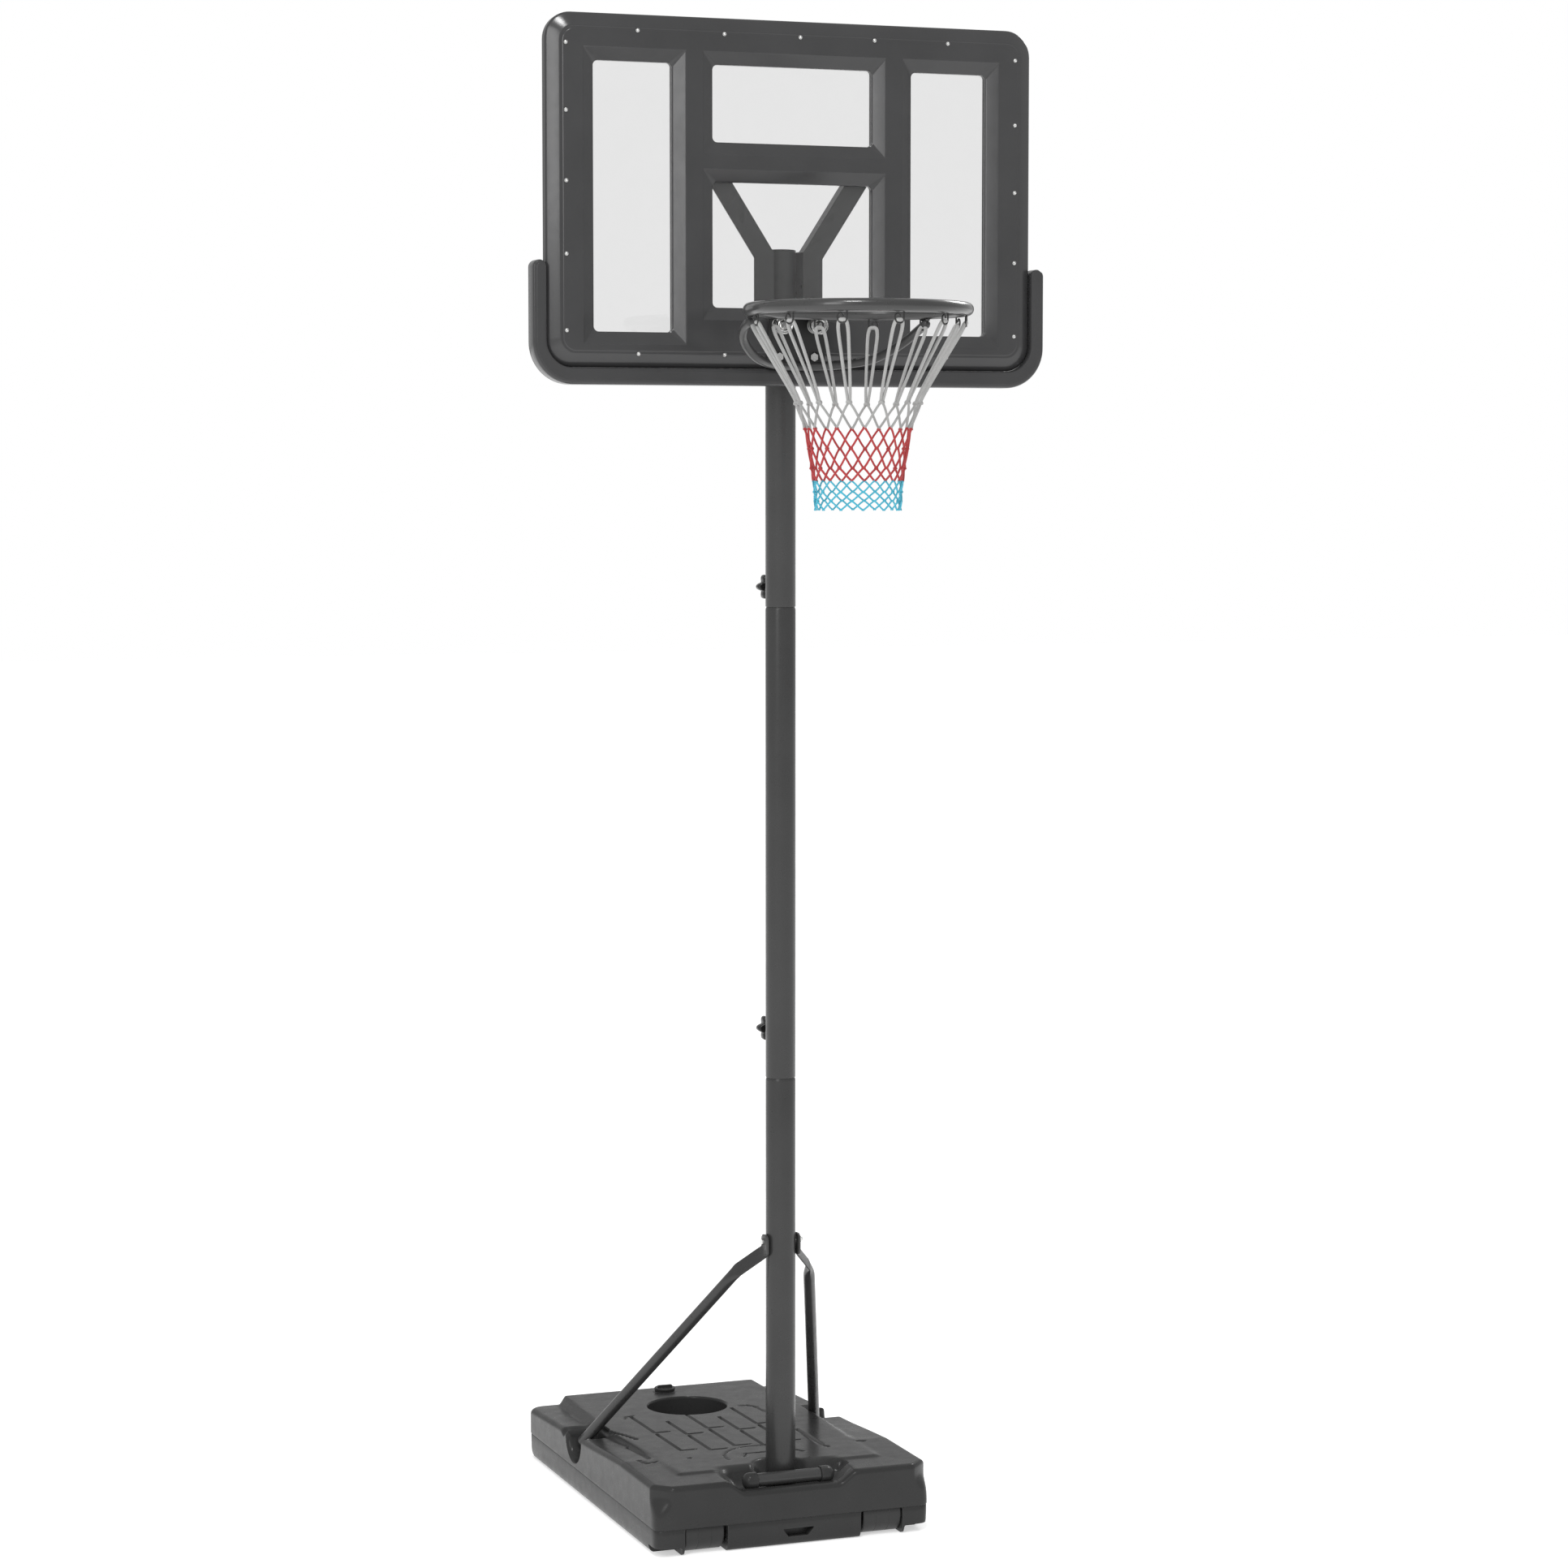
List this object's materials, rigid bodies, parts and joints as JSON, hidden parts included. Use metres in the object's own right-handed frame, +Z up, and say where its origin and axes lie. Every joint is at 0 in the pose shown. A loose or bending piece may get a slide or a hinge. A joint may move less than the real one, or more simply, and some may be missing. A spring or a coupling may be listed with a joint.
{
  "type": "portable basketball hoop",
  "caption": "Portable basketball hoop: water-filled wheeled base, telescoping pole with clamp knobs, clear framed board, sprung rim and net.",
  "frame": {"origin": "on the pole's axis at floor level, on the underside of the base", "axes": "+Z up the pole, -Y the way the board and rim face, +X to the right seen from behind the board with the base under it"},
  "size_m": [1.13, 1.5121, 3.197],
  "materials": {
    "moulded_plastic": "matt, fine moulded grain",
    "water": "clear liquid",
    "black_plastic": "satin",
    "rubber": "matt",
    "painted_steel": "satin powder coat",
    "zinc_steel": "bright zinc plate",
    "clear_panel": "clear, polished",
    "net_cord": "braided cord in three colours"
  },
  "bodies": {
    "base": {"base_tank": "moulded_plastic", "water_fill": "water", "axle_left": "zinc_steel", "axle_right": "zinc_steel", "lower_pole": "painted_steel", "pole_foot_tube": "painted_steel", "foot_pin": "zinc_steel", "strut_left": "painted_steel", "strut_right": "painted_steel", "strut_pin_left": "zinc_steel", "strut_pin_right": "zinc_steel", "strut_bolt": "zinc_steel", "strut_nut": "zinc_steel"},
    "wheel_left": {"wheel_left": "black_plastic"},
    "wheel_right": {"wheel_right": "black_plastic"},
    "cap_lift": {"cap_seal": "rubber"},
    "cap_turn": {"filler_cap": "black_plastic"},
    "middle_section": {"middle_pole": "painted_steel", "lower_weld_nut": "painted_steel"},
    "lower_screw": {"lower_stud": "zinc_steel"},
    "lower_grip": {"lower_knob": "black_plastic"},
    "upper_section": {"upper_pole": "painted_steel", "upper_weld_nut": "painted_steel", "pole_cap": "black_plastic", "bracket_arm_left": "painted_steel", "bracket_arm_right": "painted_steel", "pole_bolt_lower": "zinc_steel", "pole_bolt_upper": "zinc_steel", "pole_nut_lower": "zinc_steel", "pole_nut_upper": "zinc_steel", "board_frame": "moulded_plastic", "backing_frame": "moulded_plastic", "board_panel": "clear_panel", "board_trim": "moulded_plastic", "mount_plate": "painted_steel", "spring_bolt_left": "zinc_steel", "spring_bolt_right": "zinc_steel", "spring_nut_left": "zinc_steel", "spring_nut_right": "zinc_steel", "mount_bolt_left": "zinc_steel", "mount_bolt_right": "zinc_steel", "mount_nut_left": "zinc_steel", "mount_nut_right": "zinc_steel", "spring_disc_left": "zinc_steel", "spring_disc_right": "zinc_steel", "rim_spring_left": "zinc_steel", "rim_spring_right": "zinc_steel"},
    "upper_screw": {"upper_stud": "zinc_steel"},
    "upper_grip": {"upper_knob": "black_plastic"},
    "rim": {"rim_bracket": "painted_steel", "rim_ring": "painted_steel", "rim_brace": "painted_steel", "net": "net_cord"}
  },
  "joints": [
    {"name": "wheel_left_spin", "type": "hinge", "parent": "base", "child": "wheel_left", "pos_m": [-0.2015, -0.043, 0.0425], "axis": [1, 0, 0], "continuous": true},
    {"name": "wheel_right_spin", "type": "hinge", "parent": "base", "child": "wheel_right", "pos_m": [0.2015, -0.043, 0.0425], "axis": [1, 0, 0], "continuous": true},
    {"name": "cap_rise", "type": "slide", "parent": "base", "child": "cap_lift", "axis": [0, 0, 1], "range_m": [0, 0.0061]},
    {"name": "cap_unscrew", "type": "hinge", "parent": "cap_lift", "child": "cap_turn", "pos_m": [0, 0.765, 0.14], "axis": [0, 0, 1], "range_deg": [0, 540]},
    {"name": "middle_raise", "type": "slide", "parent": "base", "child": "middle_section", "axis": [0, 0, 1], "range_m": [0, 0.2286]},
    {"name": "lower_screw_out", "type": "slide", "parent": "middle_section", "child": "lower_screw", "axis": [0, 1, 0], "range_m": [0, 0.0064]},
    {"name": "lower_knob_turn", "type": "hinge", "parent": "lower_screw", "child": "lower_grip", "pos_m": [0, 0.067, 1.087], "axis": [0, 1, 0], "range_deg": [0, 1800]},
    {"name": "upper_raise", "type": "slide", "parent": "middle_section", "child": "upper_section", "axis": [0, 0, 1], "range_m": [0, 0.2286]},
    {"name": "upper_screw_out", "type": "slide", "parent": "upper_section", "child": "upper_screw", "axis": [0, 1, 0], "range_m": [0, 0.0064]},
    {"name": "upper_knob_turn", "type": "hinge", "parent": "upper_screw", "child": "upper_grip", "pos_m": [0, 0.067, 2.029], "axis": [0, 1, 0], "range_deg": [0, 1800]},
    {"name": "rim_flex", "type": "hinge", "parent": "upper_section", "child": "rim", "pos_m": [0, -0.0922, 2.488], "axis": [1, 0, 0], "range_deg": [0, 8], "stiffness_Nm_per_rad": 150, "springref_deg": -17.19, "deforming": ["rim_spring_left", "rim_spring_right"]}
  ],
  "couplings": [
    {"joint": "cap_rise", "follows": "cap_unscrew", "m_per_rad": 0.00063662},
    {"joint": "lower_screw_out", "follows": "lower_knob_turn", "m_per_rad": 0.00019894},
    {"joint": "upper_screw_out", "follows": "upper_knob_turn", "m_per_rad": 0.00019894}
  ]
}
